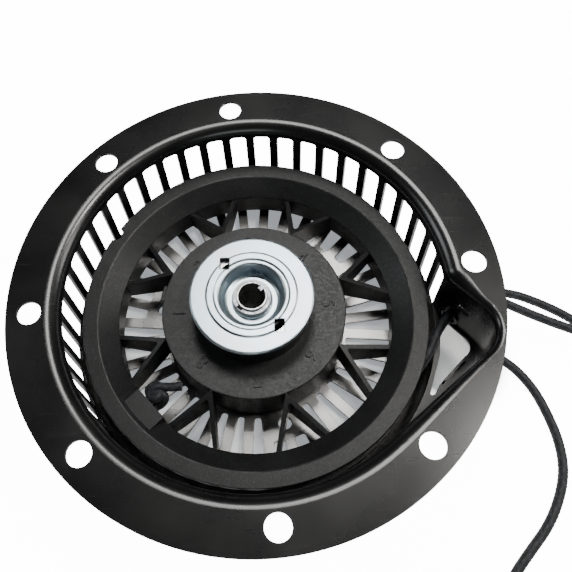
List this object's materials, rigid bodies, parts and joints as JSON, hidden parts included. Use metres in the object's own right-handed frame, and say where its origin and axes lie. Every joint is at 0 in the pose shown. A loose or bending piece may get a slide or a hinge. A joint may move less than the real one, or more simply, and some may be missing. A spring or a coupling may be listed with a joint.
{
  "type": "recoil starter",
  "caption": "Round pull-rope starter: a flanged, slotted steel bowl with a ribbed rope pulley, a pawl drive plate and a rope with a T-handle.",
  "frame": {"origin": "centre of the round flange, at the level of the three collars that the bowl stands on", "axes": "+Z along the pulley's axis, out of the bowl towards the engine; +X towards the rope outlet, about 7 degrees past it"},
  "size_m": [0.3394, 0.2976, 0.0585],
  "materials": {
    "black_enamel": "gloss",
    "glass_nylon": "satin",
    "zinc_steel": "satin",
    "turned_steel": "satin",
    "spring_steel": "satin",
    "bronze": "satin",
    "white_nylon": "matte",
    "rope": "matte",
    "black_rubber": "satin"
  },
  "bodies": {
    "root": {"housing": "black_enamel", "centre_post": "turned_steel", "spring_arbor": "turned_steel", "post_washer": "zinc_steel", "rope_eyelet": "black_enamel", "recoil_spring": "spring_steel", "rope_run": "rope", "retaining_ring": "spring_steel", "brake_washer": "zinc_steel", "brake_spring": "spring_steel", "thrust_washer": "white_nylon", "starter_rope": "rope", "handle_grip": "black_rubber", "handle_ferrule": "zinc_steel", "handle_knot": "rope"},
    "pulley": {"pulley": "glass_nylon", "pulley_bushing": "bronze", "spring_keeper": "zinc_steel", "wound_rope": "rope", "rope_knot": "rope", "pawl_pins": "turned_steel", "pawl_springs": "spring_steel"},
    "drive_plate": {"drive_plate": "zinc_steel"},
    "pawl_a": {"pawl_a": "turned_steel"},
    "pawl_b": {"pawl_b": "turned_steel"}
  },
  "joints": [
    {"name": "pulley_spin", "type": "hinge", "parent": "root", "child": "pulley", "pos_m": [0, 0, 0.035], "axis": [0, 0, 1], "range_deg": [-360, 540], "stiffness_Nm_per_rad": 0.05},
    {"name": "plate_turn", "type": "hinge", "parent": "pulley", "child": "drive_plate", "pos_m": [0, 0, 0.047], "axis": [0, 0, -1], "range_deg": [0, 25]},
    {"name": "pawl_a_pivot", "type": "hinge", "parent": "pulley", "child": "pawl_a", "pos_m": [0.00204, -0.02331, 0.0449], "axis": [0, 0, -1], "range_deg": [0, 18]},
    {"name": "pawl_b_pivot", "type": "hinge", "parent": "pulley", "child": "pawl_b", "pos_m": [-0.00204, 0.02331, 0.0449], "axis": [0, 0, -1], "range_deg": [0, 18]}
  ],
  "couplings": [
    {"joint": "pawl_a_pivot", "follows": "plate_turn", "ratio": 0.72},
    {"joint": "pawl_b_pivot", "follows": "plate_turn", "ratio": 0.72}
  ]
}
